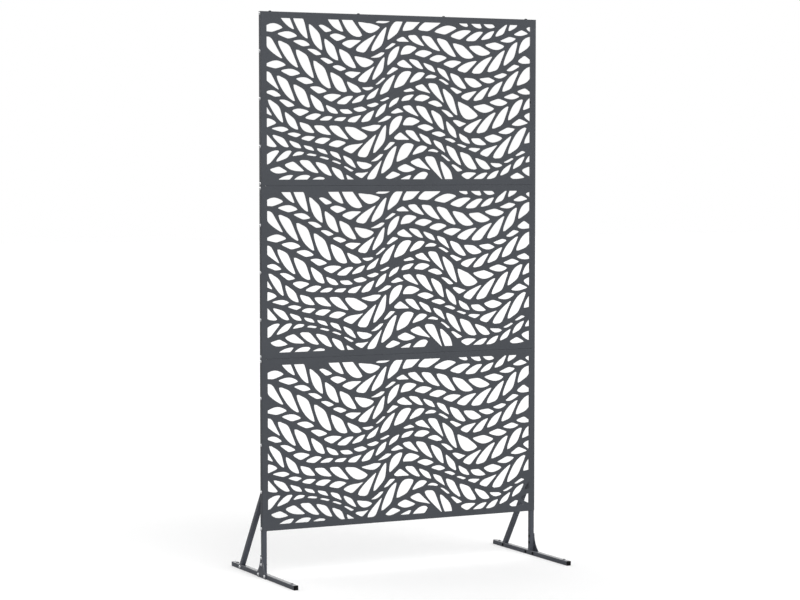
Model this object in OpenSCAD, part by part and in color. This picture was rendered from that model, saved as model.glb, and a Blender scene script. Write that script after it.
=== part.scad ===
// Free-standing garden screen: three laser-cut sheet panels, one above the
// other, bolted to a frame of slim square tube with two braced feet.
// X runs along the screen, Y from front to back, Z up from the floor.
// The origin is on the floor, midway between the posts, in their centre plane.

/* [Screen] */
// Outside width of the panels
screen_w = 1000; // [700:10:1400]
// Height of one panel
panel_h = 550; // [400:10:800]
// Height of the lowest panel's bottom edge above the floor
ground_gap = 150; // [110:5:250]

/* [Sheet] */
// Thickness of the sheet steel
sheet = 0.8; // [0.6:0.1:2]
// Inside radius of the folds along the sheet's edges
fold_r = 0.4; // [0.2:0.1:2]
// Width of the relief cut at the end of a fold
relief = 1.5; // [0.8:0.1:3]
// Plain border left around the cut pattern
border = 20; // [17:1:40]

/* [Leaf pattern] */
// Width of a stem between its two rows of leaves
stem_w = 16; // [6:0.5:24]
// Width of the webs between neighbouring leaves
web = 10.5; // [4:0.5:12]
// Distance from one leaf to the next in a row of no height
leaf_pitch = 28; // [16:1:40]
// Extra distance for each millimetre of row height
leaf_spread = 0.3; // [0:0.02:0.6]
// Angle between a leaf and its stem
leaf_angle = 42; // [35:1:65]
// Smallest leaf opening that is cut, in square millimetres
least_opening = 150; // [60:10:400]

/* [Frame tube] */
// Outside size of the square tube
tube = 15; // [15:1:25]
// Wall of the square tube
tube_wall = 1.5; // [1:0.1:1.8]
// Outside corner radius of the square tube
tube_corner = 1.5; // [0.5:0.1:2.5]

/* [Feet and braces] */
// Length of a foot over its end caps
foot_len = 500; // [420:10:800]
// Thickness of an end cap's head
cap_head = 3; // [2:0.5:6]
// Length of an end cap inside the foot
cap_plug = 14; // [8:1:18]
// Distance of a floor screw from the end of its foot
floor_screw_inset = 32; // [26:1:60]
// Distance of a brace's lower bolt behind its post
brace_reach = 181; // [120:1:200]
// Thickness of the tongue at each end of a brace
tongue_t = 3; // [2:0.5:5]

/* [Corner plates] */
// Width of a corner plate along the foot
plate_w = 70; // [60:1:110]
// Height of a corner plate above the floor
plate_h = 72; // [66:1:95]
// Thickness of a corner plate
plate_t = 2; // [1.5:0.1:4]
// Distance of a corner plate's foot bolts from the post's centre
plate_bolt_y = 24.5; // [20:0.5:28]
// Distance of a corner plate's upper bolt below its top edge
plate_bolt_top = 9; // [7:0.5:12]
// Distance between a corner plate's two bolts on the post
plate_bolt_step = 21; // [14:0.5:26]

/* [Fasteners] */
// Diameter of the bolts
bolt_d = 6; // [5:0.5:6]
// Diameter of a bolt's round head
head_d = 10.5; // [9:0.1:12]
// Height of a bolt's round head
head_h = 3.3; // [2:0.1:5]
// Length of a bolt that stands out of its hexagon nut
bolt_proud = 1.5; // [0:0.5:4]
// Width of a hexagon nut across its flats
nut_af = 10; // [8:0.5:10]
// Height of a hexagon nut
nut_h = 5; // [3:0.1:6]
// Diameter of a sleeve nut's low round head
sleeve_head_d = 9.6; // [9:0.1:10]
// Height of a sleeve nut's head
sleeve_head_h = 1.2; // [0.8:0.1:1.6]
// Outside diameter of a sleeve nut's sleeve
sleeve_d = 7.6; // [7.4:0.1:8]
// Length of a sleeve nut's sleeve, from the side of the tube inwards
sleeve_len = 4.8; // [4:0.1:4.8]
// Thickness of the closed end between a sleeve nut's thread and its socket
sleeve_floor = 0.6; // [0.4:0.1:1]
// Distance of the outer flange bolts from the ends of the panel
flange_inset = 35; // [28:1:80]
// Distance of the first side bolt from a panel's top or bottom edge
side_first = 7.5; // [7.5:0.5:12]
// Distance of the second side bolt from a panel's top or bottom edge
side_second = 125; // [60:5:180]

/* [Clearances] */
// Gap between a bolt and the edge of its hole
hole_gap = 0.2; // [0.1:0.05:0.4]
// Gap between a bolt and its nut, in place of the thread
thread_gap = 0.1; // [0.05:0.05:0.2]
// Gap between a bolt's end and the closed end of its sleeve nut
bolt_end_gap = 0.2; // [0.1:0.1:0.5]
// Gap around an end cap inside its tube
cap_gap = 0.15; // [0.1:0.05:0.3]
// Gap around a brace's tongue in its slot
tongue_gap = 0.3; // [0.2:0.05:0.45]
// Gap between a tongue's edges and the walls of the brace it slides into
tongue_side_gap = 0.5; // [0.2:0.1:1]
// Gap between a notched flange or a rail and the posts
post_gap = 0.5; // [0.3:0.1:2]
// Gap between a floor screw's end and the floor
floor_gap = 1; // [0.5:0.5:4]

/* [Hidden] */
$fn = 48;

steel_colour = [0.31, 0.32, 0.34];
frame_colour = [0.33, 0.34, 0.37];
zinc_colour = [0.80, 0.81, 0.83];
black_zinc_colour = [0.10, 0.10, 0.11];
cap_colour = [0.06, 0.06, 0.06];

left = -1;
right = 1;
// How far a cutter runs past what it cuts, and a shape into the one it is joined to
past = 1;
// Radii of the sheet's folds: the inside one is never larger than the corner it lies around
fold_in = min(fold_r, tube_corner);
fold_out = fold_in + sheet;
// How far a folded edge runs into the front sheet
lap = 5;
// Panels are counted from the floor: 0 is the bottom one
panel_count = 3;
screen_top = ground_gap + panel_count * panel_h;
post_x = screen_w / 2 - sheet - tube / 2;
// The posts stop where the fold at the top of the top panel begins
post_top = screen_top - fold_out;
flange_depth = sheet + tube;
front_y = -tube / 2 - sheet;
hole_d = bolt_d + 2 * hole_gap;
side_bolt_heights = [side_first, side_second, panel_h / 2,
    panel_h - side_second, panel_h - side_first];
// Four bolts along each horizontal flange, evenly spaced
flange_bolt_xs = [for (i = [0:3]) (i / 3 - 0.5) * (screen_w - 2 * flange_inset)];
foot_bolt_z = tube / 2;
plate_bolt_zs = [plate_h - plate_bolt_top - plate_bolt_step, plate_h - plate_bolt_top];
// The brace runs from the foot bolt up to the second side bolt of the bottom panel
brace_top_z = ground_gap + side_second;
brace_angle = atan2(brace_top_z - foot_bolt_z, brace_reach);
brace_len = norm([brace_reach, brace_top_z - foot_bolt_z]);
tongue_w = tube - 2 * (tube_wall + tongue_side_gap);
// A tongue reaches this far from its bolt, and the bar it is welded to stands this far from it
tongue_len = 2.2 * tube;
bar_from_bolt = 1.6 * tube;
// Hexagon socket in a bolt's head
socket_d = 0.7 * bolt_d;
socket_depth = 0.6 * head_h;
// A bolt that ends in a sleeve nut stops this far inside the tube's inner side
bolt_short = sleeve_floor + bolt_end_gap;

// ---------- Leaf pattern ----------
// The stems' heights are given for a field of this height and stretched to the panel's own
art_h = 510;
// Heights of the stems at even steps across the field, from the lowest stem up.
// The first and last stems run outside the field, so their leaves are cut by the border.
stems = [
    [-30, -30, -30, -60, -55, -30, -120, -50, -55],
    [40, 70, 45, -10, 55, 80, -10, 0, 50],
    [155, 120, 95, 65, 165, 135, 90, 60, 115],
    [265, 190, 180, 180, 245, 230, 145, 165, 230],
    [350, 300, 235, 250, 295, 320, 250, 275, 315],
    [460, 415, 345, 305, 395, 375, 340, 355, 430],
    [570, 525, 435, 400, 470, 470, 445, 465, 515],
    [650, 595, 545, 510, 560, 585, 555, 525, 625]];
// How round each corner of a leaf is, as a share of its sides, and in how many steps:
// the stem side's back and front, the tip and the belly
leaf_corners = [[0, 0, 0.5, 2], [1, 0, 0.45, 2], [1, 1, 0.55, 2], [0, 1, 0.9, 3]];
// A leaf leaves its stem steeply and bends forward: 1 would be a straight leaf
leaf_bend = 1.25;
// Where stems rise, the leaves above them are the longer ones, and where they fall, those below:
// the share of the room between two stems that this shifts at a slope of 90 degrees
lean = 0.3;
// Half of the stretch over which a stem's slope is taken
tilt_span = 50;
// Least width of a leaf at its tip, and least side of its outline
tip_width = 2;
least_side = 0.05;
// Where the lowest stem's leaves start, and how much sooner those of each stem above it do
row_start = -90;
row_shift = 13;

field_w = screen_w - 2 * border;
field_h = panel_h - 2 * border;

// Smooth curve through the evenly spaced heights h, at s steps along it
function through(h, s) = let(
        last = len(h) - 1,
        i = min(last - 1, max(0, floor(s))),
        t = max(0, min(1, s - i)),
        a = h[max(0, i - 1)], b = h[i], c = h[i + 1], d = h[min(last, i + 2)])
    b + 0.5 * t * (c - a + t * (2 * a - 5 * b + 4 * c - d + t * (3 * (b - c) + d - a)));

// Height of stem k above the field's bottom at the distance x, and its slope there,
// taken over the length of a leaf so that neighbouring leaves turn gently
function stem_z(k, x) = through(stems[k], x / field_w * (len(stems[k]) - 1)) * field_h / art_h;
function stem_tilt(k, x) = atan((stem_z(k, x + tilt_span) - stem_z(k, x - tilt_span)) / (2 * tilt_span));
// Edge of the stem on one side: a sloping stem is measured square to its run
function stem_edge(k, side, x) = stem_z(k, x) + side * stem_w / 2 / cos(stem_tilt(k, x));
// A row of leaves ends half a web short of the line between it and the next stem's row
function row_end(k, side, x) = let(
        below = min(k, k + side),
        share = 0.5 + lean * sin((stem_tilt(below, x) + stem_tilt(below + 1, x)) / 2))
    stem_z(below, x) * (1 - share) + stem_z(below + 1, x) * share - side * web / 2;
function row_height(k, side, x) = abs(row_end(k, side, x) - stem_edge(k, side, x));
// How far a leaf that starts at x reaches forward, at its own angle to the stem
function leaf_reach(k, side, x) = let(tilt = side * stem_tilt(k, x))
    row_height(k, side, x) * cos(leaf_angle + tilt) * cos(tilt) / sin(leaf_angle);
// Distance along x that a leaf of the width w takes up
function along_x(k, x, w) = w * cos(stem_tilt(k, x)) / sin(leaf_angle);
// Places where the leaves of a row start, one after the other, until past the field's end
function leaf_starts(k, side, x) = x > field_w + tilt_span ? [] : concat([x], leaf_starts(k, side,
    x + along_x(k, x, leaf_pitch + leaf_spread * row_height(k, side, x))));

function curve_point(a, c, b, s) = (1 - s) * (1 - s) * a + 2 * s * (1 - s) * c + s * s * b;
// Outline of a leaf in the unit square, with each corner rounded by its own share
leaf_form = [for (i = [0:3]) let(
        corner = leaf_corners[i],
        here = [corner[0], corner[1]],
        before = [leaf_corners[(i + 3) % 4][0], leaf_corners[(i + 3) % 4][1]],
        after = [leaf_corners[(i + 1) % 4][0], leaf_corners[(i + 1) % 4][1]],
        share = corner[2],
        steps = corner[3])
    for (j = [0:steps])
        curve_point(here + (before - here) * share / 2, here,
            here + (after - here) * share / 2, j / steps)];

// One point of a leaf: u runs along the stem, v from the stem out to the tip
function leaf_point(k, side, x0, x1, u, v) = let(
        trim = along_x(k, x0, web / 2),
        tip0 = x0 + leaf_reach(k, side, x0),
        tip1 = x1 + leaf_reach(k, side, x1),
        base_x = x0 + trim + (x1 - x0 - 2 * trim) * u,
        tip_x = (tip0 + tip1) / 2 + max(tip_width, tip1 - tip0 - 2 * trim) * (u - 0.5),
        base_z = stem_edge(k, side, base_x),
        tip_z = row_end(k, side, tip_x))
    [base_x + (tip_x - base_x) * pow(v, leaf_bend), base_z + (tip_z - base_z) * v];
// Keeps the part of an outline where one coordinate is at most, or at least, a limit
function trimmed(ps, axis, limit, way) = len(ps) < 3 ? [] : [for (i = [0:len(ps) - 1]) let(
        a = ps[i],
        b = ps[(i + 1) % len(ps)],
        a_room = way * (limit - a[axis]),
        b_room = way * (limit - b[axis]))
    each concat(a_room >= 0 ? [a] : [],
        a_room * b_room < 0 ? [a + (b - a) * a_room / (a_room - b_room)] : [])];
function kept_inside(ps) = trimmed(trimmed(trimmed(trimmed(ps,
    0, 0, -1), 0, field_w, 1), 1, 0, -1), 1, field_h, 1);
function area(ps) = abs([for (i = [0:len(ps) - 1]) let(n = ps[(i + 1) % len(ps)])
    ps[i][0] * n[1] - n[0] * ps[i][1]] * [for (p = ps) 0.5]);
function no_repeats(ps) = len(ps) < 3 ? [] : [for (i = [0:len(ps) - 1])
    if (norm(ps[i] - ps[(i + 1) % len(ps)]) > least_side) ps[i]];

// All leaf openings of a panel, as outlines inside the field
leaves = [for (k = [0:len(stems) - 1], side = [-1, 1])
    if (k + side >= 0 && k + side < len(stems))
        let(starts = leaf_starts(k, side, row_start - row_shift * k))
            for (i = [0:len(starts) - 2])
                let(outline = no_repeats(kept_inside([for (p = leaf_form)
                    leaf_point(k, side, starts[i], starts[i + 1], p[0], p[1])])))
                    if (len(outline) > 2 && area(outline) > least_opening) outline];

// ---------- Shapes used by several pieces ----------
module rounded_square(side, corner) {
    square([side, side - 2 * corner], center = true);
    square([side - 2 * corner, side], center = true);
    for (x = [-1, 1], y = [-1, 1])
        translate([x, y] * (side / 2 - corner))
            circle(corner);
}

// A length of square tube along Z, open at both ends
module square_tube(length) {
    linear_extrude(length)
        difference() {
            rounded_square(tube, tube_corner);
            square(tube - 2 * tube_wall, center = true);
        }
}

// A bolt hole along X, all the way through
module cross_hole(y, z) {
    translate([-tube, y, z])
        rotate([0, 90, 0])
            cylinder(h = 2 * tube, d = hole_d);
}

// The two holes of a bolt through a tube: the one in the inner wall is wider, for a sleeve nut
module bolt_and_nut_holes(side, y, z) {
    cross_hole(y, z);
    translate([-side * tube / 2, y, z])
        rotate([0, 90, 0])
            cylinder(h = 2 * (tube_wall + past), d = sleeve_d + 2 * hole_gap, center = true);
}

// Round-headed bolt: its head seats on the plane Z = 0 and its shank points down
module bolt(length) {
    head_radius = (head_d * head_d / 4 + head_h * head_h) / (2 * head_h);
    difference() {
        union() {
            intersection() {
                translate([0, 0, head_h - head_radius])
                    sphere(head_radius);
                cylinder(h = head_h, d = head_d);
            }
            translate([0, 0, -length])
                cylinder(h = length + past, d = bolt_d);
        }
        translate([0, 0, head_h - socket_depth])
            cylinder(h = head_h, d = socket_d, $fn = 6);
    }
}

// Hexagon nut: it seats on the plane Z = 0 and reaches down
module nut() {
    translate([0, 0, -nut_h])
        difference() {
            cylinder(h = nut_h, d = nut_af / cos(30), $fn = 6);
            translate([0, 0, -past])
                cylinder(h = nut_h + 2 * past, d = bolt_d + 2 * thread_gap);
        }
}

// Nut with a low head, which seats on the plane Z = 0 from below, and a sleeve that points up
module sleeve_nut() {
    difference() {
        union() {
            translate([0, 0, -sleeve_head_h])
                cylinder(h = sleeve_head_h, d = sleeve_head_d);
            translate([0, 0, -sleeve_head_h])
                cylinder(h = sleeve_head_h + sleeve_len, d = sleeve_d);
        }
        translate([0, 0, sleeve_floor])
            cylinder(h = sleeve_len, d = bolt_d + 2 * thread_gap);
        translate([0, 0, -sleeve_head_h - past])
            cylinder(h = sleeve_head_h + past, d = socket_d, $fn = 6);
    }
}

// Places what is drawn pointing down so that it points inwards from the outer side
module from_outside(side, x, y, z) {
    translate([side * x, y, z])
        rotate([0, side * 90, 0])
            children();
}

// ---------- Panels ----------
// The top edge of the top panel isn't notched: its flange covers the ends of the posts
function is_notched(level, edge) = edge < 0 || level < panel_count - 1;
// How far a level flange reaches to each side, and how far its fold does
function flange_reach(notched) = notched ? post_x - tube / 2 - post_gap : screen_w / 2;
function fold_reach(notched) = min(flange_reach(notched), screen_w / 2 - fold_out - relief);

// Folded edge of a sheet, along Z: the lap in the front sheet, the fold and the flange.
// X runs in from the outer face of the flange and Y back from the front face.
module folded_edge(length) {
    linear_extrude(length) {
        translate([fold_out, 0])
            square([lap, sheet]);
        translate([0, fold_out])
            square([sheet, flange_depth - fold_out]);
        intersection() {
            square(fold_out);
            translate([fold_out, fold_out])
                difference() {
                    circle(fold_out);
                    circle(fold_in);
                }
        }
    }
}

// Folded lower edge of a panel; where it isn't notched the flange alone runs to the corners
module level_flange(notched) {
    reach = flange_reach(notched);
    difference() {
        translate([0, front_y, 0]) {
            translate([-fold_reach(notched), 0, 0])
                rotate([90, 0, 90])
                    mirror([1, -1, 0])
                        folded_edge(2 * fold_reach(notched));
            if (!notched)
                translate([-reach, fold_out, 0])
                    cube([2 * reach, flange_depth - fold_out, sheet]);
        }
        for (x = flange_bolt_xs)
            translate([x, 0, -past])
                cylinder(h = sheet + 2 * past, d = hole_d);
    }
}

// Folded left edge of a panel: the fold stops below a corner where the level flange runs out
module side_flange(notched_top) {
    difference() {
        translate([-screen_w / 2, front_y, 0]) {
            folded_edge(panel_h - (notched_top ? 0 : fold_out));
            translate([0, fold_out, 0])
                cube([sheet, flange_depth - fold_out, panel_h]);
        }
        for (z = side_bolt_heights)
            translate([-post_x, 0, 0])
                cross_hole(0, z);
    }
}

// Flat outline of the front sheet: the strips that the level folds take are left out
module front_outline(level) {
    difference() {
        translate([fold_out - screen_w / 2, 0])
            square([screen_w - 2 * fold_out, panel_h]);
        for (edge = [-1, 1]) {
            cut = fold_reach(is_notched(level, edge)) + relief;
            translate([-cut, edge < 0 ? -past : panel_h - fold_out])
                square([2 * cut, fold_out + past]);
        }
        for (outline = leaves)
            translate([border - screen_w / 2, border])
                polygon(outline);
    }
}

// Pierced sheet with all four edges folded back as a shallow tray
module panel(level) {
    notched_top = is_notched(level, 1);
    color(steel_colour)
        translate([0, 0, ground_gap + level * panel_h]) {
            translate([0, front_y + sheet, 0])
                rotate([90, 0, 0])
                    linear_extrude(sheet)
                        front_outline(level);
            side_flange(notched_top);
            mirror([1, 0, 0])
                side_flange(notched_top);
            level_flange(true);
            translate([0, 0, panel_h])
                mirror([0, 0, 1])
                    level_flange(notched_top);
        }
}

// ---------- Frame ----------
module post(side) {
    color(frame_colour)
        translate([side * post_x, 0, 0])
            difference() {
                translate([0, 0, tube])
                    square_tube(post_top - tube);
                for (level = [0:panel_count - 1], z = side_bolt_heights)
                    bolt_and_nut_holes(side, 0, ground_gap + level * panel_h + z);
                for (z = plate_bolt_zs)
                    bolt_and_nut_holes(side, 0, z);
                brace_tongue(0, tongue_gap);
            }
}

module top_rail() {
    reach = flange_reach(true);
    color(frame_colour)
        translate([0, 0, screen_top - sheet - tube / 2])
            difference() {
                translate([-reach, 0, 0])
                    rotate([0, 90, 0])
                        square_tube(2 * reach);
                for (x = flange_bolt_xs)
                    translate([x, 0, -tube])
                        cylinder(h = 2 * tube, d = hole_d);
            }
}

module foot(side) {
    tube_len = foot_len - 2 * cap_head;
    color(frame_colour)
        translate([side * post_x, 0, 0])
            difference() {
                translate([0, tube_len / 2, tube / 2])
                    rotate([90, 0, 0])
                        square_tube(tube_len);
                for (y = [-plate_bolt_y, plate_bolt_y, brace_reach])
                    bolt_and_nut_holes(side, y, foot_bolt_z);
                for (end = [-1, 1])
                    translate([0, end * (foot_len / 2 - floor_screw_inset), -past])
                        cylinder(h = tube + 2 * past, d = hole_d);
                brace_tongue(brace_len, tongue_gap);
            }
}

// Centre plane of a brace: from its lower bolt along the line to its upper bolt
module along_brace() {
    translate([0, brace_reach, foot_bolt_z])
        rotate([90 - brace_angle, 0, 0])
            children();
}

// Round-ended tongue about the bolt at the given distance from the upper end
module brace_tongue(from_top, grow) {
    at_top = from_top == 0;
    along_brace()
        translate([-tongue_t / 2 - grow, 0, at_top ? brace_len : 0])
            rotate([0, 90, 0])
                rotate([0, 0, at_top ? 0 : 180])
                    linear_extrude(tongue_t + 2 * grow) {
                        circle(tongue_w / 2 + grow);
                        translate([0, -tongue_w / 2 - grow])
                            square([tongue_len, tongue_w + 2 * grow]);
                    }
}

module brace(side) {
    color(frame_colour)
        translate([side * post_x, 0, 0])
            difference() {
                union() {
                    intersection() {
                        along_brace()
                            square_tube(brace_len);
                        translate([-tube, tube / 2, tube])
                            cube([2 * tube, foot_len, brace_top_z]);
                    }
                    brace_tongue(0, 0);
                    brace_tongue(brace_len, 0);
                    // The tongues are welded to bars inside the tube's ends
                    for (z = [bar_from_bolt, brace_len - bar_from_bolt])
                        along_brace()
                            translate([0, 0, z])
                                cube([tongue_t, tube - tube_wall, tube], center = true);
                }
                cross_hole(0, brace_top_z);
                cross_hole(brace_reach, foot_bolt_z);
            }
}

// Plate that ties a post to its foot, drawn in to the post in two hollow curves
module corner_plate(side) {
    half = plate_w / 2;
    step = half - tube / 2;
    rise = plate_h - tube;
    curve_r = (step * step + rise * rise) / (2 * step);
    color(frame_colour)
        translate([side * (post_x + tube / 2 + plate_t / 2), 0, 0])
            rotate([90, 0, 90])
                translate([0, 0, -plate_t / 2])
                    linear_extrude(plate_t)
                        difference() {
                            translate([-half, 0])
                                square([plate_w, plate_h]);
                            for (y = [-1, 1])
                                translate([y * (tube / 2 + curve_r), plate_h])
                                    circle(curve_r, $fn = 96);
                            for (z = plate_bolt_zs)
                                translate([0, z])
                                    circle(d = hole_d);
                            for (y = [-1, 1])
                                translate([y * plate_bolt_y, foot_bolt_z])
                                    circle(d = hole_d);
                        }
}

// Plastic cap: a head over the tube's end and a plug inside it
module foot_cap(side, end) {
    color(cap_colour)
        translate([side * post_x, end * (foot_len / 2 - cap_head), tube / 2])
            rotate([end * -90, 0, 0]) {
                linear_extrude(cap_head)
                    rounded_square(tube, tube_corner);
                translate([0, 0, -cap_plug])
                    linear_extrude(cap_plug)
                        square(tube - 2 * tube_wall - 2 * cap_gap, center = true);
            }
}

// ---------- Fasteners ----------
module side_bolts(level, side) {
    color(zinc_colour)
        for (z = side_bolt_heights)
            from_outside(side, screen_w / 2, 0, ground_gap + level * panel_h + z)
                bolt(sheet + tube - bolt_short);
}

module side_nuts(level, side) {
    color(black_zinc_colour)
        for (z = side_bolt_heights)
            from_outside(side, post_x - tube / 2, 0, ground_gap + level * panel_h + z)
                sleeve_nut();
}

module seam_bolts(seam) {
    color(zinc_colour)
        for (x = flange_bolt_xs)
            translate([x, 0, ground_gap + seam * panel_h + sheet])
                bolt(2 * sheet + nut_h + bolt_proud);
}

module seam_nuts(seam) {
    color(black_zinc_colour)
        for (x = flange_bolt_xs)
            translate([x, 0, ground_gap + seam * panel_h - sheet])
                nut();
}

module rail_bolts() {
    color(black_zinc_colour)
        for (x = flange_bolt_xs)
            translate([x, 0, screen_top])
                bolt(sheet + tube + nut_h + bolt_proud);
}

module rail_nuts() {
    color(black_zinc_colour)
        for (x = flange_bolt_xs)
            translate([x, 0, screen_top - sheet - tube])
                nut();
}

// Places of a corner plate's bolts, as [y, z]
plate_bolt_places = [[-plate_bolt_y, foot_bolt_z], [plate_bolt_y, foot_bolt_z],
    [0, plate_bolt_zs[0]], [0, plate_bolt_zs[1]]];

module plate_bolts(side) {
    color(zinc_colour)
        for (place = plate_bolt_places)
            from_outside(side, post_x + tube / 2 + plate_t, place[0], place[1])
                bolt(plate_t + tube - bolt_short);
}

module plate_nuts(side) {
    color(black_zinc_colour)
        for (place = plate_bolt_places)
            from_outside(side, post_x - tube / 2, place[0], place[1])
                sleeve_nut();
}

module brace_bolt(side) {
    color(zinc_colour)
        from_outside(side, post_x + tube / 2, brace_reach, foot_bolt_z)
            bolt(tube - bolt_short);
}

module brace_nut(side) {
    color(black_zinc_colour)
        from_outside(side, post_x - tube / 2, brace_reach, foot_bolt_z)
            sleeve_nut();
}

// Short screws that stand in the floor-fixing holes near the ends of a foot
module floor_screws(side) {
    color(black_zinc_colour)
        for (end = [-1, 1])
            translate([side * post_x, end * (foot_len / 2 - floor_screw_inset), tube])
                bolt(tube - floor_gap);
}

panel(2);  // panel_top
panel(1);  // panel_middle
panel(0);  // panel_bottom
post(left);  // post_left
post(right);  // post_right
top_rail();
foot(left);  // foot_left
foot(right);  // foot_right
brace(left);  // brace_left
brace(right);  // brace_right
corner_plate(left);  // corner_plate_left
corner_plate(right);  // corner_plate_right
foot_cap(left, -1);  // foot_cap_front_left
foot_cap(left, 1);  // foot_cap_rear_left
foot_cap(right, -1);  // foot_cap_front_right
foot_cap(right, 1);  // foot_cap_rear_right
side_bolts(2, left);  // side_bolts_top_left
side_bolts(1, left);  // side_bolts_middle_left
side_bolts(0, left);  // side_bolts_bottom_left
side_bolts(2, right);  // side_bolts_top_right
side_bolts(1, right);  // side_bolts_middle_right
side_bolts(0, right);  // side_bolts_bottom_right
side_nuts(2, left);  // side_nuts_top_left
side_nuts(1, left);  // side_nuts_middle_left
side_nuts(0, left);  // side_nuts_bottom_left
side_nuts(2, right);  // side_nuts_top_right
side_nuts(1, right);  // side_nuts_middle_right
side_nuts(0, right);  // side_nuts_bottom_right
seam_bolts(2);  // seam_bolts_upper
seam_bolts(1);  // seam_bolts_lower
seam_nuts(2);  // seam_nuts_upper
seam_nuts(1);  // seam_nuts_lower
rail_bolts();
rail_nuts();
plate_bolts(left);  // plate_bolts_left
plate_bolts(right);  // plate_bolts_right
plate_nuts(left);  // plate_nuts_left
plate_nuts(right);  // plate_nuts_right
brace_bolt(left);  // brace_bolt_left
brace_bolt(right);  // brace_bolt_right
brace_nut(left);  // brace_nut_left
brace_nut(right);  // brace_nut_right
floor_screws(left);  // floor_screws_left
floor_screws(right);  // floor_screws_right
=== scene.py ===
import math

import bmesh
import bpy
import numpy as np
from mathutils.geometry import tessellate_polygon
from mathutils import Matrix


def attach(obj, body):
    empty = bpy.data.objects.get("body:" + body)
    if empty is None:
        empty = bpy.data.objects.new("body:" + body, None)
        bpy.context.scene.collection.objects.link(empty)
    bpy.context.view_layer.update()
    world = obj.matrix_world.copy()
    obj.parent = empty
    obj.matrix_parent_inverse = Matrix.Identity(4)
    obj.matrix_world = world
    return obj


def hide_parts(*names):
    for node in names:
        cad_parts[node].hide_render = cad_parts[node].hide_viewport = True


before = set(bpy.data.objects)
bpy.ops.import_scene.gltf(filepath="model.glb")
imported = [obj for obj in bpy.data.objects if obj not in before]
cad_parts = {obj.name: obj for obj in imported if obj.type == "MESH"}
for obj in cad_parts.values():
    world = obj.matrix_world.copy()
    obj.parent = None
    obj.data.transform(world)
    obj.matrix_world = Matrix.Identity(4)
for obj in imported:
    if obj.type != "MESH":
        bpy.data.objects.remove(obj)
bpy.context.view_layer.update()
print("screen loaded:", len(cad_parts), "nodes")


# Camera, to the left of the screen and level with its upper half

cameraView = {
    "place": (-3.4213, -6.7570, 1.3200),  # metres from the floor under the middle of the screen
    "turn": 26.822,  # degrees to the right of straight ahead
    "tilt": 3.358,  # degrees down
    "lens": 104.455, "sensor": 36.0,  # millimetres
    "farClip": 100.0,
}


def placeCamera(view):
    data = bpy.data.cameras.new("photoCamera")
    data.lens = view["lens"]
    data.sensor_width = view["sensor"]
    data.sensor_fit = "HORIZONTAL"
    data.clip_end = view["farClip"]
    camera = bpy.data.objects.new("photoCamera", data)
    camera.location = view["place"]
    camera.rotation_euler = (math.radians(90 - view["tilt"]), 0, math.radians(-view["turn"]))
    bpy.context.scene.collection.objects.link(camera)
    bpy.context.scene.camera = camera


placeCamera(cameraView)


# Finishes

noiseSpan = (0.3, 0.7)  # nearly all values of a noise lie between these


def startMaterial(name):
    material = bpy.data.materials.new(name)
    material.use_nodes = True
    tree = material.node_tree
    tree.nodes.clear()
    out = tree.nodes.new("ShaderNodeOutputMaterial")
    shader = tree.nodes.new("ShaderNodeBsdfPrincipled")
    tree.links.new(shader.outputs["BSDF"], out.inputs["Surface"])
    coords = tree.nodes.new("ShaderNodeTexCoord")
    return material, tree, shader, coords.outputs["Object"]


def addNoise(tree, place, scale, detail, stretch=None):
    noise = tree.nodes.new("ShaderNodeTexNoise")
    noise.inputs["Scale"].default_value = scale
    noise.inputs["Detail"].default_value = detail
    if stretch:  # drawn out along one axis
        mapping = tree.nodes.new("ShaderNodeMapping")
        mapping.inputs["Scale"].default_value = stretch
        tree.links.new(place, mapping.inputs["Vector"])
        place = mapping.outputs["Vector"]
    tree.links.new(place, noise.inputs["Vector"])
    return noise.outputs["Fac"]


def addRamp(tree, value, colours, span=noiseSpan):
    ramp = tree.nodes.new("ShaderNodeValToRGB")
    for end, position, colour in zip(ramp.color_ramp.elements, span, colours):
        end.position = position
        end.color = (*colour, 1)
    tree.links.new(value, ramp.inputs["Fac"])
    return ramp.outputs["Color"]


def addRange(tree, value, low, high):
    mapRange = tree.nodes.new("ShaderNodeMapRange")
    mapRange.inputs["From Min"].default_value, mapRange.inputs["From Max"].default_value = noiseSpan
    mapRange.inputs["To Min"].default_value = low
    mapRange.inputs["To Max"].default_value = high
    tree.links.new(value, mapRange.inputs["Value"])
    return mapRange.outputs["Result"]


def addBump(tree, height, strength, distance, below=None):
    bump = tree.nodes.new("ShaderNodeBump")
    bump.inputs["Strength"].default_value = strength
    bump.inputs["Distance"].default_value = distance
    tree.links.new(height, bump.inputs["Height"])
    if below:
        tree.links.new(below, bump.inputs["Normal"])
    return bump.outputs["Normal"]


def multiplyColours(tree, first, second):
    mix = tree.nodes.new("ShaderNodeMix")
    mix.data_type = "RGBA"
    mix.blend_type = "MULTIPLY"
    mix.inputs["Factor"].default_value = 1.0
    colourInputs = [socket for socket in mix.inputs if socket.type == "RGBA"]
    for colour, socket in zip((first, second), colourInputs):
        tree.links.new(colour, socket)
    return next(socket for socket in mix.outputs if socket.type == "RGBA")


def shade(colour, amount):
    return tuple(channel * amount for channel in colour)


# A colour a little darker and a little lighter
def aroundColour(colour, share):
    return shade(colour, 1 - share), shade(colour, 1 + share)


powder = {
    "driftDetail": 2.0, "roughDrift": 0.04,
    "speckle": 0.05, "speckleScale": 1400.0, "speckleDetail": 1.0, "speckleSpan": (0.35, 0.65),
    "peelDetail": 2.0, "peelStrength": 0.25, "grainStrength": 0.3,
    "glossRough": 0.12,
}


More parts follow.
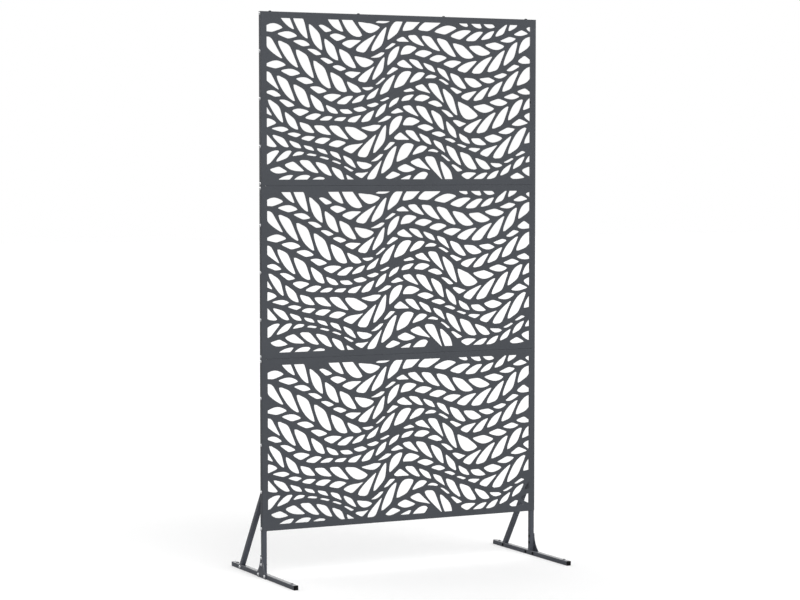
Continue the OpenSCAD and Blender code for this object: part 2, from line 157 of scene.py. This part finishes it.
# Powder coat: a slow drift of tone, a fine speckle, and the dimpled skin of fused powder
def makePowderCoat(name, coat):
    material, tree, shader, place = startMaterial(name)
    drift = addNoise(tree, place, coat["driftScale"], coat["driftDetail"], coat.get("stretch"))
    tone = addRamp(tree, drift, aroundColour(coat["colour"], coat["drift"]))
    fine = addNoise(tree, place, coat["speckleScale"], coat["speckleDetail"])
    speckle = addRamp(tree, fine, aroundColour((1, 1, 1), coat["speckle"]), coat["speckleSpan"])
    tree.links.new(multiplyColours(tree, tone, speckle), shader.inputs["Base Color"])
    roughDrift = coat["roughDrift"]
    rough = addRange(tree, drift, coat["rough"] - roughDrift, coat["rough"] + roughDrift)
    tree.links.new(rough, shader.inputs["Roughness"])
    shader.inputs["Specular IOR Level"].default_value = coat["specular"]
    shader.inputs["Coat Weight"].default_value = coat["gloss"]  # a smooth skin, seen at a low angle
    shader.inputs["Coat Roughness"].default_value = coat["glossRough"]
    dimples = addNoise(tree, place, coat["peelScale"], coat["peelDetail"])
    peel = addBump(tree, dimples, coat["peelStrength"], coat["peelDepth"])
    grain = addBump(tree, fine, coat["grainStrength"], coat["grainDepth"], peel)
    tree.links.new(grain, shader.inputs["Normal"])
    return material


panelCoat = makePowderCoat("anthracitePanelCoat", {
    **powder, "colour": (0.055, 0.0605, 0.0705), "drift": 0.06, "driftScale": 5.0,
    "peelScale": 320.0, "peelDepth": 0.0006, "grainDepth": 0.0002,
    "rough": 0.58, "specular": 0.35, "gloss": 0.0})
frameCoat = makePowderCoat("anthraciteFrameCoat", {
    **powder, "colour": (0.069, 0.075, 0.091), "drift": 0.07, "driftScale": 9.0,
    "stretch": (1.0, 1.0, 0.25),
    "peelScale": 360.0, "peelDepth": 0.0003, "grainDepth": 0.0001,
    "rough": 0.32, "specular": 0.1, "gloss": 0.8})

plating = {
    "cloudScale": 260.0, "cloudDetail": 3.0, "cloudShade": 0.9,
    "smoother": 0.05, "rougher": 0.07,  # how far the roughness goes down and up
    "rubDetail": 2.0, "rubStretch": (1.0, 1.0, 0.15), "rubStrength": 0.15, "rubDepth": 0.0001,
}


# Zinc plating: pale metal with a cloudy sheen and fine rubbed lines
def makeZinc(name, zinc):
    material, tree, shader, place = startMaterial(name)
    cloud = addNoise(tree, place, zinc["cloudScale"], zinc["cloudDetail"])
    tone = addRamp(tree, cloud, (shade(zinc["colour"], zinc["cloudShade"]), zinc["colour"]))
    tree.links.new(tone, shader.inputs["Base Color"])
    shader.inputs["Metallic"].default_value = zinc["metal"]
    shader.inputs["Specular IOR Level"].default_value = zinc["specular"]
    rough = addRange(tree, cloud, zinc["rough"] - zinc["smoother"], zinc["rough"] + zinc["rougher"])
    tree.links.new(rough, shader.inputs["Roughness"])
    rub = addNoise(tree, place, zinc["rubScale"], zinc["rubDetail"], zinc["rubStretch"])
    tree.links.new(addBump(tree, rub, zinc["rubStrength"], zinc["rubDepth"]), shader.inputs["Normal"])
    return material


zincPlate = makeZinc("brightZincPlate", {
    **plating, "colour": (0.90, 0.91, 0.93), "metal": 0.75, "rough": 0.30, "specular": 0.5,
    "rubScale": 1800.0})
# The near-black colour of the nuts and the rail bolts is painted shade: it stands for the shade in
# their holes and under them.
paintedShadeSteel = makeZinc("blackPaintedShadeSteel", {
    **plating, "colour": (0.004, 0.004, 0.005), "metal": 0.0, "rough": 0.5, "specular": 0.1,
    "rubScale": 1500.0})
wornZinc = makeZinc("wornDarkSteel", {
    **plating, "colour": (0.20, 0.20, 0.21), "metal": 0.5, "rough": 0.35, "specular": 0.5,
    "rubScale": 1500.0})


# Moulded plastic: near black, with the fine spark grain of the mould
def makePlastic(name, plastic):
    material, tree, shader, place = startMaterial(name)
    tint = addNoise(tree, place, plastic["tintScale"], plastic["tintDetail"])
    tone = addRamp(tree, tint, aroundColour(plastic["colour"], plastic["tint"]))
    tree.links.new(tone, shader.inputs["Base Color"])
    drift = plastic["roughDrift"]
    rough = addRange(tree, tint, plastic["rough"] - drift, plastic["rough"] + drift)
    tree.links.new(rough, shader.inputs["Roughness"])
    shader.inputs["Specular IOR Level"].default_value = plastic["specular"]
    sparks = addNoise(tree, place, plastic["grainScale"], plastic["grainDetail"])
    grain = addBump(tree, sparks, plastic["grainStrength"], plastic["grainDepth"])
    tree.links.new(grain, shader.inputs["Normal"])
    return material


capPlastic = makePlastic("blackCapPlastic", {
    "colour": (0.004, 0.004, 0.0045), "tint": 0.15, "tintScale": 90.0, "tintDetail": 2.0,
    "rough": 0.5, "roughDrift": 0.05, "specular": 0.15,
    "grainScale": 1600.0, "grainDetail": 1.0, "grainStrength": 0.3, "grainDepth": 0.0001})


def dress(names, material):
    for name in names:
        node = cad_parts[name]
        node.data.materials.clear()
        node.data.materials.append(material)


frameNames = ["post_left", "post_right", "top_rail", "foot_left", "foot_right",
              "brace_left", "brace_right", "corner_plate_left", "corner_plate_right"]
dress(frameNames, frameCoat)
print("finishes made")


# Surfaces worked out as grids of rings

joinDistance = 3e-5  # points of a new surface that lie closer than this become one
poleRadius = 1e-5  # a ring this small becomes one point


# Quads of a grid whose columns close on themselves; points run row by row
def ringQuads(rows, columns):
    row, column = np.meshgrid(np.arange(rows - 1), np.arange(columns), indexing="ij")
    after = (column + 1) % columns
    here, above = row * columns, (row + 1) * columns
    return np.stack([here + column, here + after, above + after, above + column], -1).reshape(-1, 4)


# Points of a ring grid: a row's radii times the cosine and sine of the turns, at its own heights
def ringPoints(radii, turn, heights):
    heights = np.broadcast_to(heights, radii.shape)
    return np.stack([radii * np.cos(turn), radii * np.sin(turn), heights], -1).reshape(-1, 3)


# Angles of a ring's points: a full turn in equal steps
def ringTurns(columns):
    return np.arange(columns) * 2 * math.pi / columns


# Copies one grid to many places: its points times the place's 3 x 3 turn, plus the place's point
def spread(points, quads, turns, places):
    turned = np.einsum("nij,pj->npi", np.asarray(turns), points) + np.asarray(places)[:, None, :]
    steps = np.arange(len(places))[:, None, None] * len(points)
    return turned.reshape(-1, 3), (quads[None] + steps).reshape(-1, 4)


# Faces are all quads or all triangles, one to a row
def makePiece(name, points, faces, material, stands, creaseAngle=35):
    mesh = bpy.data.meshes.new(name)
    mesh.vertices.add(len(points))
    mesh.vertices.foreach_set("co", np.asarray(points, dtype=np.float32).ravel())
    mesh.loops.add(faces.size)
    mesh.loops.foreach_set("vertex_index", faces.astype(np.int32).ravel())
    mesh.polygons.add(len(faces))
    mesh.polygons.foreach_set("loop_start", np.arange(0, faces.size, faces.shape[1], dtype=np.int32))
    mesh.update(calc_edges=True)
    closed = bmesh.new()  # poles and seams run together into single points
    closed.from_mesh(mesh)
    bmesh.ops.remove_doubles(closed, verts=closed.verts, dist=joinDistance)
    bmesh.ops.recalc_face_normals(closed, faces=closed.faces)
    closed.to_mesh(mesh)
    closed.free()
    mesh.materials.append(material)
    piece = bpy.data.objects.new(name, mesh)
    bpy.context.scene.collection.objects.link(piece)
    mesh.polygons.foreach_set("use_smooth", np.ones(len(mesh.polygons), dtype=bool))
    mesh.set_sharp_from_angle(angle=math.radians(creaseAngle))
    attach(piece, "root")
    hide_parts(*stands)
    return piece


# A hexagon's reach at each angle: half its width over the cosine of the turn from the nearest flat
def hexEdge(angle, acrossFlats):
    fromFlat = (angle + math.pi / 6) % (math.pi / 3) - math.pi / 6
    return acrossFlats / 2 / np.cos(fromFlat)


# Places of the fasteners, in metres: the solids have the same sizes

screen = {
    "width": 1.0, "panelHeight": 0.55, "footLength": 0.5,
    "gap": 0.15,  # under the lowest panel
    "sheet": 0.0008, "tube": 0.015, "plate": 0.002,  # thickness of sheet, side of tube, corner plate
    "flangeBolts": 4, "flangeInset": 0.035,  # bolts along a level flange, and the last ones' inset
    "sideFirst": 0.0075, "sideSecond": 0.125,  # side bolts, from either end of a panel's side
    "plateBoltAside": 0.0245, "plateBoltHeights": (0.042, 0.063),  # bolts to the foot and the post
    "braceReach": 0.181,  # from the middle of the post back to the brace's lower bolt
    "floorScrewInset": 0.032,  # from the end of a foot
    "floorScrewLift": 0.001,  # a floor screw ends this far above the floor
}
sides = {"left": -1, "right": 1}
levels = {"bottom": 0, "middle": 1, "top": 2}
panelHeight = screen["panelHeight"]
screenTop = screen["gap"] + len(levels) * panelHeight
postX = screen["width"] / 2 - screen["sheet"] - screen["tube"] / 2  # middle of the right post
footMid = screen["tube"] / 2
sideHeights = np.array([screen["sideFirst"], screen["sideSecond"], panelHeight / 2,
                        panelHeight - screen["sideSecond"], panelHeight - screen["sideFirst"]])
flangeRow = screen["width"] - 2 * screen["flangeInset"]
flangeXs = np.linspace(-0.5, 0.5, screen["flangeBolts"]) * flangeRow
upright = np.eye(3)
# turns that point the head of a bolt out to the left and to the right
towards = {-1: np.array([[0, 0, -1], [0, 1, 0], [1, 0, 0]]),
           1: np.array([[0, 0, 1], [0, 1, 0], [-1, 0, 0]])}


# Heights of a panel's side bolts above the floor
def boltHeights(level):
    return screen["gap"] + level * panelHeight + sideHeights


# Pierced panels: the solids' own outlines, with every corner of an opening rounded

cutSizes = {
    "steps": 4,  # points on each rounded corner
    "tipTurn": 50,  # degrees: an outline that turns more than this in one place has a tip there
    "tipRound": 0.0012,  # how far a tip's round reaches along its sides
    "merge": 3e-6,  # points of the solid's mesh that lie closer than this are one
    "flatness": 1.5e-6,  # a flat sheet's triangle lies this close to its plane; the folds don't
    "flatNormal": 0.999,  # a face whose normal points this far along Y is shaded flat
}


# Points and triangles of a merged copy of a solid's mesh
def readSolid(name):
    merged = bmesh.new()
    merged.from_mesh(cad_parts[name].data)
    bmesh.ops.remove_doubles(merged, verts=merged.verts, dist=cutSizes["merge"])
    bmesh.ops.triangulate(merged, faces=merged.faces)
    mesh = bpy.data.meshes.new(name + "_copy")
    merged.to_mesh(mesh)
    merged.free()
    points = np.empty(len(mesh.vertices) * 3)
    mesh.vertices.foreach_get("co", points)
    triangles = np.empty(len(mesh.loops), dtype=np.int32)
    mesh.loops.foreach_get("vertex_index", triangles)
    bpy.data.meshes.remove(mesh)
    return points.reshape(-1, 3), triangles.reshape(-1, 3)


# Closed loops along the open edges of some triangles, the widest one last: an edge is open if its
# reverse isn't there. Looking one point ahead, then two, then four and so on gives each point the
# lowest number on its loop, and then its steps to the point of that number, which put it in order.
def findLoops(triangles, points):
    count = len(points)
    starts, ends = triangles.ravel(), np.roll(triangles, -1, 1).ravel()
    isOpen = ~np.isin(starts * count + ends, ends * count + starts)
    edge, own = starts[isOpen], np.arange(count)
    after = own.copy()
    after[edge] = ends[isOpen]
    rounds = len(edge).bit_length()
    lowest, ahead = own, after
    for _ in range(rounds):
        lowest, ahead = np.minimum(lowest, lowest[ahead]), ahead[ahead]
    ahead = np.where(lowest == own, own, after)
    steps = (ahead != own).astype(int)
    for _ in range(rounds):
        steps, ahead = steps + steps[ahead], ahead[ahead]
    edge = edge[np.lexsort((-steps[edge], lowest[edge]))]
    loops = np.split(edge, np.flatnonzero(np.diff(lowest[edge])) + 1)
    return sorted(loops, key=lambda loop: np.ptp(points[loop, 0]))


# Each corner becomes a parabola that starts half of the shorter edge before it and ends as far
# behind it, with the corner as its control point. A tip's parabola is shorter.
def roundOutline(corners, size):
    before, behind = corners - np.roll(corners, 1, 0), np.roll(corners, -1, 0) - corners
    lengthBefore, lengthBehind = np.linalg.norm(before, axis=1), np.linalg.norm(behind, axis=1)
    turn = np.arccos(np.clip((before * behind).sum(1) / (lengthBefore * lengthBehind), -1, 1))
    reach = np.minimum(lengthBefore, lengthBehind) / 2
    isTip = turn > math.radians(size["tipTurn"])
    reach = np.where(isTip, np.minimum(reach, size["tipRound"]), reach)
    start = (corners - before * (reach / lengthBefore)[:, None])[:, None]
    end = (corners + behind * (reach / lengthBehind)[:, None])[:, None]
    step = ((np.arange(size["steps"]) + 0.5) / size["steps"])[None, :, None]
    curve = (1 - step) ** 2 * start + 2 * step * (1 - step) * corners[:, None] + step ** 2 * end
    return curve.reshape(-1, 2)


# The flat sheet: its front, its back and a wall round each opening. The first outline is the edge
# where the folds begin, so it has no wall.
def flatSheet(outlines, frontY, backY):
    flat = np.concatenate(outlines)
    sizes = np.array([len(outline) for outline in outlines])
    face = np.array(tessellate_polygon([np.insert(outline, 2, 0, 1) for outline in outlines]))
    count, here = len(flat), np.arange(len(flat))
    firsts = np.repeat(np.cumsum(sizes) - sizes, sizes)
    ahead = firsts + (here - firsts + 1) % np.repeat(sizes, sizes)
    here, ahead = here[sizes[0]:], ahead[sizes[0]:]
    walls = [np.stack([here, ahead, ahead + count], 1),
             np.stack([here, ahead + count, here + count], 1)]
    points = np.concatenate([np.insert(flat, 1, y, 1) for y in (frontY, backY)])
    return points, np.concatenate([face, face[:, ::-1] + count, *walls])


# A panel with its flat sheet made anew between the solid's own folds and flanges
def addPanel(name):
    points, triangles = readSolid(name)
    backY = -screen["tube"] / 2
    frontY = backY - screen["sheet"]
    onFront, onBack = ((np.abs(points[triangles, 1] - y) < cutSizes["flatness"]).all(1)
                       for y in (frontY, backY))
    *openings, rim = findLoops(triangles[onFront], points)  # the widest loop is the sheet's own edge
    *openingsBehind, _ = findLoops(triangles[onBack], points)
    onWall = np.isin(triangles, np.concatenate(openings + openingsBehind)).all(1)
    folded = triangles[~(onFront | onBack | onWall)]

    outlines = [points[rim][:, [0, 2]]]
    outlines += [roundOutline(points[loop][:, [0, 2]], cutSizes) for loop in openings]
    sheetPoints, sheetFaces = flatSheet(outlines, frontY, backY)
    faces = np.concatenate([folded, sheetFaces + len(points)])
    used, faces = np.unique(faces, return_inverse=True)
    piece = makePiece(name + "_detail", np.concatenate([points, sheetPoints])[used],
                      faces.reshape(-1, 3), panelCoat, [name])
    normals = np.empty(len(piece.data.polygons) * 3)
    piece.data.polygons.foreach_get("normal", normals)
    isFlat = np.abs(normals.reshape(-1, 3)[:, 1]) > cutSizes["flatNormal"]
    piece.data.polygons.foreach_set("use_smooth", ~isFlat)
    return len(openings)


for levelName in levels:
    print("panel", levelName, "has", addPanel("panel_" + levelName), "openings")


# Bolts

boltSizes = {
    "shank": 0.006, "head": 0.0105, "headHeight": 0.0033,
    "rim": 0.0005, "rimRings": (0.8, 0.3),  # upright edge of the head, and its rings as shares of it
    "undercut": 0.0002,  # bevel under the head
    "dome": 0.985, "domeRings": 6,  # the dome's lowest ring, as a share of the head's radius
    "socketFlats": 0.0036, "socketDepth": 0.0020, "socketTaper": 0.98, "socketCone": 0.0004,
    "socketEdge": 0.0002, "socketMouth": 1.06,  # bevel of the socket: its depth and its width
    "thread": 0.001, "threadDepth": 0.0003, "threadLength": 0.004, "threadRings": 14,
    "runOut": 0.0002, "endHeight": 0.0006, "endBevel": 0.0003,
    "proud": 0.0015, "nut": 0.005,  # how far a bolt's end stands out of its nut, and the nut's height
    "short": 0.0008,  # a bolt in a sleeve nut stops this far short of the tube's inner side
    "columns": 24,
}


# Button-headed bolt, head on Z = 0 and shank down. Each row is a ring: its radius is the row's own,
# or the hexagon's in the socket. The dome is a sphere's cap: its height comes from the root of the
# sphere's radius squared less the ring's squared. On the thread the radius swings by a triangle
# wave of height minus turn.
def boltGrid(length, size):
    turn = ringTurns(size["columns"])
    flat = np.ones(len(turn))
    head, shank = size["head"] / 2, size["shank"] / 2
    tall, rim = size["headHeight"], size["rim"]
    bulge = (head * head + (tall - rim) ** 2) / (2 * (tall - rim))  # radius of the dome's sphere
    hexRing = hexEdge(turn, size["socketFlats"])
    mouth = size["socketFlats"] / 2 / math.cos(math.pi / 6) * size["socketMouth"]
    domeRadii = np.linspace(mouth, head * size["dome"], size["domeRings"])
    domeHeights = tall - bulge + np.sqrt(bulge ** 2 - domeRadii ** 2)
    threadRows = np.linspace(size["threadLength"], size["endHeight"], size["threadRings"]) - length
    phase = (threadRows[:, None] / size["thread"] - turn[None, :] / (2 * math.pi)) % 1
    threads = shank - size["threadDepth"] * np.abs(2 * phase - 1)
    tip = shank - size["threadDepth"] - size["endBevel"]

    radii = np.concatenate([
        [flat * poleRadius, hexRing * size["socketTaper"], hexRing],
        domeRadii[:, None] * flat,
        [flat * head, flat * head, flat * (head - size["undercut"]), flat * shank, flat * shank],
        threads,
        [flat * tip, flat * poleRadius]])
    floor = tall - size["socketDepth"]
    heights = np.concatenate([
        [floor - size["socketCone"], floor, domeHeights[0] - size["socketEdge"]],
        domeHeights,
        [rim * share for share in size["rimRings"]],
        [0, 0, size["threadLength"] + size["runOut"] - length],
        threadRows,
        [-length, -length]])
    return ringPoints(radii, turn, heights[:, None]), ringQuads(len(heights), len(turn))[:, ::-1]


def addBolts(name, length, turns, places, material):
    points, quads = spread(*boltGrid(length, boltSizes), turns, places)
    return makePiece(name + "_detail", points, quads, material, [name])


inSleeve = screen["tube"] - boltSizes["short"]
throughNut = boltSizes["nut"] + boltSizes["proud"]
for sideName, side in sides.items():
    outer = side * (postX + screen["tube"] / 2)
    for levelName, level in levels.items():
        heads = [(side * screen["width"] / 2, 0, z) for z in boltHeights(level)]
        addBolts(f"side_bolts_{levelName}_{sideName}", screen["sheet"] + inSleeve,
                 [towards[side]] * len(heads), heads, zincPlate)
    plateSpots = [(-screen["plateBoltAside"], footMid), (screen["plateBoltAside"], footMid)]
    plateSpots += [(0, z) for z in screen["plateBoltHeights"]]
    heads = [(outer + side * screen["plate"], y, z) for y, z in plateSpots]
    addBolts(f"plate_bolts_{sideName}", screen["plate"] + inSleeve,
             [towards[side]] * len(heads), heads, zincPlate)
    addBolts(f"brace_bolt_{sideName}", inSleeve, [towards[side]],
             [(outer, screen["braceReach"], footMid)], zincPlate)
    screwReach = screen["footLength"] / 2 - screen["floorScrewInset"]
    heads = [(side * postX, end * screwReach, screen["tube"]) for end in (-1, 1)]
    addBolts(f"floor_screws_{sideName}", screen["tube"] - screen["floorScrewLift"],
             [upright] * len(heads), heads, wornZinc)
for name, seam in (("seam_bolts_lower", 1), ("seam_bolts_upper", 2)):
    seamHeight = screen["gap"] + seam * panelHeight
    heads = [(x, 0, seamHeight + screen["sheet"]) for x in flangeXs]
    addBolts(name, 2 * screen["sheet"] + throughNut, [upright] * len(heads), heads, zincPlate)
heads = [(x, 0, screenTop) for x in flangeXs]
addBolts("rail_bolts", screen["sheet"] + screen["tube"] + throughNut,
         [upright] * len(heads), heads, paintedShadeSteel)
print("bolts made")


# Nuts

nutSizes = {
    "flats": 0.010, "height": 0.005, "bore": 0.0062, "boreBevel": 0.0004,
    "chamfer": 30, "turned": 30,  # degrees: slope of the chamfer, and the whole nut round Z
    "chamferCircle": 0.96,  # where the chamfer starts, as a share of half the width across flats
    "crease": 20, "columns": 24,
}


# Hexagon nut, seat on Z = 0 and reaching down. The sides stand at the hexagon's edge; where that
# lies outside the chamfer's circle, the end drops by the overhang times the chamfer's slope.
def nutGrid(size):
    turn = ringTurns(size["columns"])
    flat = np.ones(len(turn))
    edge = hexEdge(turn + math.radians(size["turned"]), size["flats"])
    circle = size["flats"] / 2 * size["chamferCircle"]
    inside = np.minimum(edge, flat * circle)
    drop = np.maximum(edge - circle, 0) * math.tan(math.radians(size["chamfer"]))
    tall, bevel = flat * size["height"], flat * size["boreBevel"]
    bore, mouth = flat * size["bore"] / 2, flat * (size["bore"] / 2 + size["boreBevel"])
    radii = np.array([bore, mouth, inside, edge, edge, inside, mouth, bore, bore])
    heights = np.array([-bevel, flat * 0, flat * 0, -drop,
                        drop - tall, -tall, -tall, bevel - tall, -bevel])
    return ringPoints(radii, turn, heights), ringQuads(len(radii), len(turn))[:, ::-1]


def addNuts(name, places):
    points, quads = spread(*nutGrid(nutSizes), [upright] * len(places), places)
    return makePiece(name + "_detail", points, quads, paintedShadeSteel, [name],
                     nutSizes["crease"])


sleeveSizes = {
    "head": 0.0096, "headHeight": 0.0012, "round": 0.0004, "roundRings": 4,
    "sleeve": 0.0076, "length": 0.0048, "sleeveBevel": 0.0003,
    "bore": 0.0062, "floor": 0.0006,
    "socketFlats": 0.0036, "socketTaper": 0.98, "socketCone": 0.0001,
    "socketEdge": 0.0002, "socketMouth": 1.05,
    "columns": 24,
}


# Sleeve nut, its low head under Z = 0 and its sleeve upwards. Each row is a ring of one height:
# from the middle of the socket over the head, whose edge is a quarter circle, up the sleeve and
# down its bore.
def sleeveGrid(size):
    turn = ringTurns(size["columns"])
    flat = np.ones(len(turn))
    socket = hexEdge(turn, size["socketFlats"])
    head, sleeve, bore = size["head"] / 2, size["sleeve"] / 2, size["bore"] / 2
    tall, edge, length = size["headHeight"], size["round"], size["length"]
    bend = np.linspace(0, math.pi / 2, size["roundRings"])
    rims = head - edge + edge * np.sin(bend)
    radii = np.concatenate([
        [flat * poleRadius, socket * size["socketTaper"], socket],
        [flat * socket.max() * size["socketMouth"]],
        rims[:, None] * flat,
        [flat * head, flat * sleeve, flat * sleeve, flat * (sleeve - size["sleeveBevel"])],
        [flat * bore, flat * bore, flat * poleRadius]])
    heights = np.concatenate([
        [0, -size["socketCone"], size["socketEdge"] - tall, -tall],
        -tall + edge - edge * np.cos(bend),
        [0, 0, length - size["sleeveBevel"], length],
        [length, size["floor"], size["floor"]]])
    return ringPoints(radii, turn, heights[:, None]), ringQuads(len(heights), len(turn))


def addSleeveNuts(name, side, places):
    points, quads = spread(*sleeveGrid(sleeveSizes), [towards[side]] * len(places), places)
    return makePiece(name + "_detail", points, quads, paintedShadeSteel, [name])


for sideName, side in sides.items():
    inner = side * (postX - screen["tube"] / 2)
    for levelName, level in levels.items():
        seats = [(inner, 0, z) for z in boltHeights(level)]
        addSleeveNuts(f"side_nuts_{levelName}_{sideName}", side, seats)
    seats = [(inner, y, footMid) for y in (-screen["plateBoltAside"], screen["plateBoltAside"])]
    seats += [(inner, 0, z) for z in screen["plateBoltHeights"]]
    addSleeveNuts(f"plate_nuts_{sideName}", side, seats)
    addSleeveNuts(f"brace_nut_{sideName}", side, [(inner, screen["braceReach"], footMid)])
for name, height in (("seam_nuts_lower", screen["gap"] + panelHeight - screen["sheet"]),
                     ("seam_nuts_upper", screen["gap"] + 2 * panelHeight - screen["sheet"]),
                     ("rail_nuts", screenTop - screen["sheet"] - screen["tube"])):
    addNuts(name, [(x, 0, height) for x in flangeXs])
print("nuts made")


# End caps of the feet

capSizes = {
    "side": 0.015, "head": 0.003, "round": 0.0007, "roundRings": 5,
    "faceRing": 0.6,  # a ring on the face of the head, as a share of half its side
    "backBevel": 0.0002, "backRing": 0.0006,  # edge towards the tube, and a ring above it
    "plug": 0.014, "plugSide": 0.0117, "plugTaper": 0.93, "plugBevel": 0.002,
    "square": 9.0,  # the power that makes a ring a rounded square
    "columns": 48,
}


# End cap along Z, its head up. A ring is a rounded square: the half side over the root of the
# summed powers of cosine and sine. The head's front edge follows a quarter circle.
def capGrid(size):
    turn = ringTurns(size["columns"]) + math.pi / size["columns"]
    power = size["square"]
    ring = (np.abs(np.cos(turn)) ** power + np.abs(np.sin(turn)) ** power) ** (-1 / power)
    half, plug, edge = size["side"] / 2, size["plugSide"] / 2, size["round"]
    bend = np.linspace(0, math.pi / 2, size["roundRings"])
    reach = np.concatenate([
        [poleRadius, half * size["faceRing"]], half - edge + edge * np.sin(bend),
        [half, half, half - size["backBevel"], plug, plug, plug * size["plugTaper"], poleRadius]])
    height = np.concatenate([
        [size["head"]] * 2, size["head"] - edge + edge * np.cos(bend),
        [size["backRing"], size["backBevel"], 0, 0],
        [size["plugBevel"] - size["plug"], -size["plug"], -size["plug"]]])
    points = ringPoints(reach[:, None] * ring, turn, height[:, None])
    return points, ringQuads(len(reach), len(turn))[:, ::-1]


# turns that point the head of a cap to the front and to the rear
outwards = {-1: np.array([[1, 0, 0], [0, 0, -1], [0, 1, 0]]),
            1: np.array([[1, 0, 0], [0, 0, 1], [0, -1, 0]])}
for sideName, side in sides.items():
    for endName, end in (("front", -1), ("rear", 1)):
        seat = (side * postX, end * (screen["footLength"] / 2 - capSizes["head"]), footMid)
        points, quads = spread(*capGrid(capSizes), [outwards[end]], [seat])
        name = f"foot_cap_{endName}_{sideName}"
        makePiece(name + "_detail", points, quads, capPlastic, [name])
print("caps made")


# Studio: pale floor, white backdrop and soft lamps

studio = {
    "floorSize": 60.0, "floorColour": (0.80, 0.80, 0.80),
    "lift": 0.20,  # added to the floor where the camera sees it
    "surround": 0.45,  # light that comes from all round
    "backdropTurn": 26.8,  # the white backdrop stands straight behind the screen for the camera
    "backdropCosines": (0.70, 0.92),  # cosines of the angles where it has faded, and where it is full
    "roomInGloss": 0.45, "floorInGloss": 0.22,  # how bright the rest of the room looks in the sheen
    "lampPlace": (0, 0, 3),  # a sun shines alike from anywhere
    "lamps": [  # angles in degrees: where each stands round the screen, how high, and how soft it is
        {"name": "keyLamp", "around": 5, "height": 38, "soft": 50, "level": 0.52},
        {"name": "fillLamp", "around": 50, "height": 30, "soft": 80, "level": 0.15},
        {"name": "backLamp", "around": 195, "height": 40, "soft": 80, "level": 0.45},
    ],
}


# Sets a socket to a number, or links it to another node's output
def feed(tree, socket, value):
    if isinstance(value, float):
        socket.default_value = value
    else:
        tree.links.new(value, socket)


def addMath(tree, operation, first, second):
    node = tree.nodes.new("ShaderNodeMath")
    node.operation = operation
    feed(tree, node.inputs[0], first)
    feed(tree, node.inputs[1], second)
    return node.outputs[0]


# Blend of two levels: the second one where the share is 1
def addBlend(tree, share, first, second):
    mapRange = tree.nodes.new("ShaderNodeMapRange")
    tree.links.new(share, mapRange.inputs["Value"])
    feed(tree, mapRange.inputs["To Min"], first)
    feed(tree, mapRange.inputs["To Max"], second)
    return mapRange.outputs["Result"]


def seenDirectly(tree, path):
    return addMath(tree, "MAXIMUM", path.outputs["Is Camera Ray"], path.outputs["Is Transmission Ray"])


def makeFloorMaterial(look):
    material = bpy.data.materials.new("paleFloor")
    material.use_nodes = True
    tree = material.node_tree
    tree.nodes.clear()
    out = tree.nodes.new("ShaderNodeOutputMaterial")
    path = tree.nodes.new("ShaderNodeLightPath")
    matte = tree.nodes.new("ShaderNodeBsdfDiffuse")
    matte.inputs["Color"].default_value = (*look["floorColour"], 1)
    glow = tree.nodes.new("ShaderNodeEmission")
    lift = addMath(tree, "MULTIPLY", seenDirectly(tree, path), look["lift"])
    tree.links.new(lift, glow.inputs["Strength"])
    lit = tree.nodes.new("ShaderNodeAddShader")
    tree.links.new(matte.outputs[0], lit.inputs[0])
    tree.links.new(glow.outputs[0], lit.inputs[1])
    sheen = tree.nodes.new("ShaderNodeEmission")
    sheen.inputs["Strength"].default_value = look["floorInGloss"]
    switch = tree.nodes.new("ShaderNodeMixShader")
    tree.links.new(path.outputs["Is Glossy Ray"], switch.inputs[0])
    tree.links.new(lit.outputs[0], switch.inputs[1])
    tree.links.new(sheen.outputs[0], switch.inputs[2])
    tree.links.new(switch.outputs[0], out.inputs["Surface"])
    return material


# White where the camera looks past the screen; the sheen shows a backdrop and a dimmer room
def makeSurround(look):
    world = bpy.data.worlds.new("whiteSurround")
    bpy.context.scene.world = world
    world.use_nodes = True
    tree = world.node_tree
    tree.nodes.clear()
    out = tree.nodes.new("ShaderNodeOutputWorld")
    sky = tree.nodes.new("ShaderNodeBackground")
    sky.inputs["Color"].default_value = (1, 1, 1, 1)
    path = tree.nodes.new("ShaderNodeLightPath")
    coords = tree.nodes.new("ShaderNodeTexCoord")
    facing = tree.nodes.new("ShaderNodeVectorMath")
    facing.operation = "DOT_PRODUCT"
    turn = math.radians(look["backdropTurn"])
    facing.inputs[1].default_value = (math.sin(turn), math.cos(turn), 0)
    tree.links.new(coords.outputs["Generated"], facing.inputs[0])
    backdrop = tree.nodes.new("ShaderNodeMapRange")
    backdrop.interpolation_type = "SMOOTHSTEP"
    faded, full = look["backdropCosines"]
    backdrop.inputs["From Min"].default_value = faded
    backdrop.inputs["From Max"].default_value = full
    backdrop.inputs["To Min"].default_value = look["roomInGloss"]
    tree.links.new(facing.outputs["Value"], backdrop.inputs["Value"])
    inGloss = path.outputs["Is Glossy Ray"]
    level = addBlend(tree, inGloss, look["surround"], backdrop.outputs["Result"])
    level = addBlend(tree, seenDirectly(tree, path), level, 1.0)
    tree.links.new(level, sky.inputs["Strength"])
    tree.links.new(sky.outputs[0], out.inputs["Surface"])


def buildStudio(look):
    half = look["floorSize"] / 2
    corners = [(-half, -half, 0), (half, -half, 0), (half, half, 0), (-half, half, 0)]
    mesh = bpy.data.meshes.new("paleFloor")
    mesh.from_pydata(corners, [], [(0, 1, 2, 3)])
    mesh.materials.append(makeFloorMaterial(look))
    floor = bpy.data.objects.new("paleFloor", mesh)
    bpy.context.scene.collection.objects.link(floor)
    makeSurround(look)
    for lamp in look["lamps"]:
        data = bpy.data.lights.new(lamp["name"], "SUN")
        data.angle = math.radians(lamp["soft"])
        data.energy = lamp["level"] * math.pi
        source = bpy.data.objects.new(lamp["name"], data)
        source.location = look["lampPlace"]
        source.rotation_euler = (math.radians(90 - lamp["height"]), 0, math.radians(lamp["around"]))
        bpy.context.scene.collection.objects.link(source)


buildStudio(studio)
bpy.context.scene.view_settings.view_transform = "Standard"
print("studio set")
